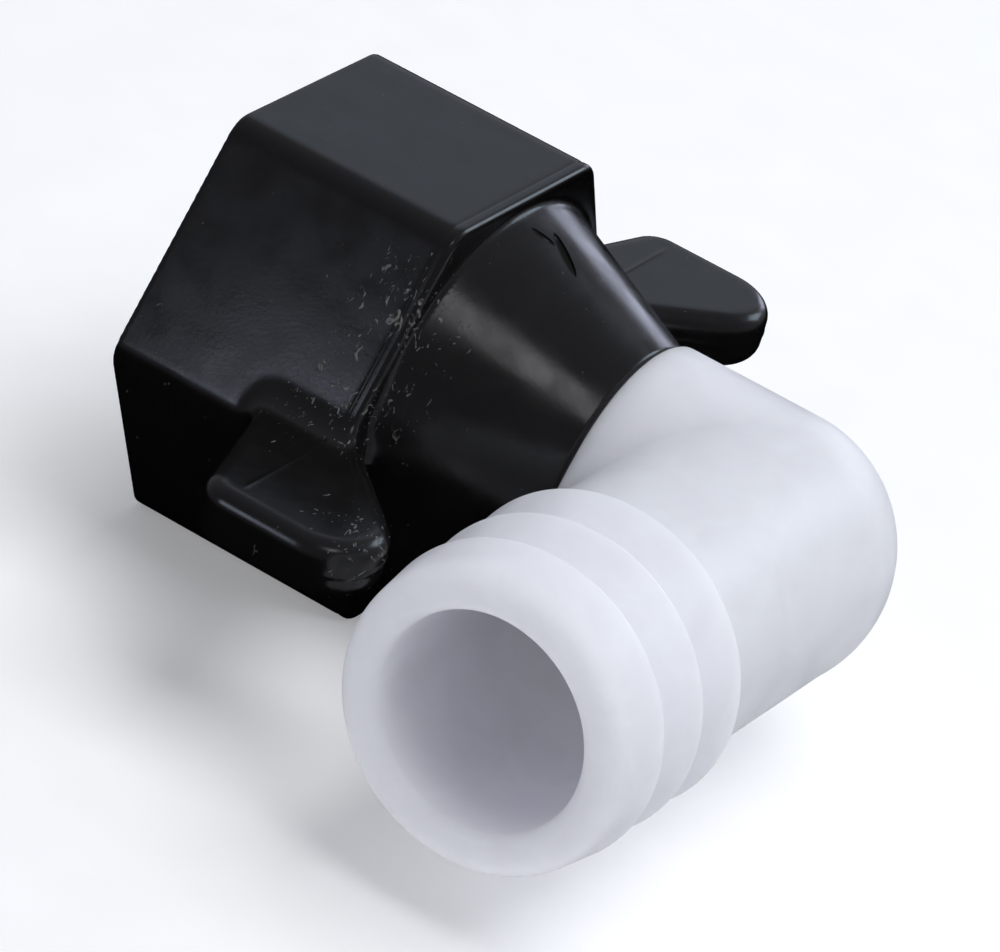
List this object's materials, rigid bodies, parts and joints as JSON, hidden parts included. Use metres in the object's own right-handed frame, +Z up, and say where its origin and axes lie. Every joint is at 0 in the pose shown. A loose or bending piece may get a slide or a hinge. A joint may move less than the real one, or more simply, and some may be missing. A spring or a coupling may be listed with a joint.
{
  "type": "swivel wing nut hose elbow",
  "caption": "Right-angle plastic fitting: a barbed hose elbow whose other end is held by a swivelling wing nut with an internal straight pipe thread.",
  "frame": {"origin": "centre of the object's box in plan, at the level of the nut's lower flat, on which the fitting lies", "axes": "+Z up; the nut axis runs along X with the threaded mouth facing -X; the hose axis runs along Y with the hose end facing -Y; the axes cross at (14.45, 2.75, 14.9) mm"},
  "size_m": [0.0498, 0.0624, 0.0298],
  "materials": {
    "elbow_plastic": "natural white acetal, satin from the mould, slightly milky",
    "seal_rubber": "smooth black nitrile rubber",
    "ring_plastic": "natural off-white acetal, satin",
    "nut_plastic": "black nylon, satin gloss from the mould, lightly scuffed"
  },
  "bodies": {
    "elbow": {"barb_elbow": "elbow_plastic", "seal_ring": "seal_rubber"},
    "retaining_ring": {"retaining_ring": "ring_plastic"},
    "nut": {"swivel_nut": "nut_plastic"}
  },
  "joints": [
    {"name": "nut_swivel", "type": "hinge", "parent": "elbow", "child": "retaining_ring", "pos_m": [-0.01035, 0.00275, 0.0149], "axis": [-1, 0, 0], "continuous": true},
    {"name": "nut_float", "type": "slide", "parent": "retaining_ring", "child": "nut", "axis": [-1, 0, 0], "range_m": [0, 0.0012]}
  ]
}
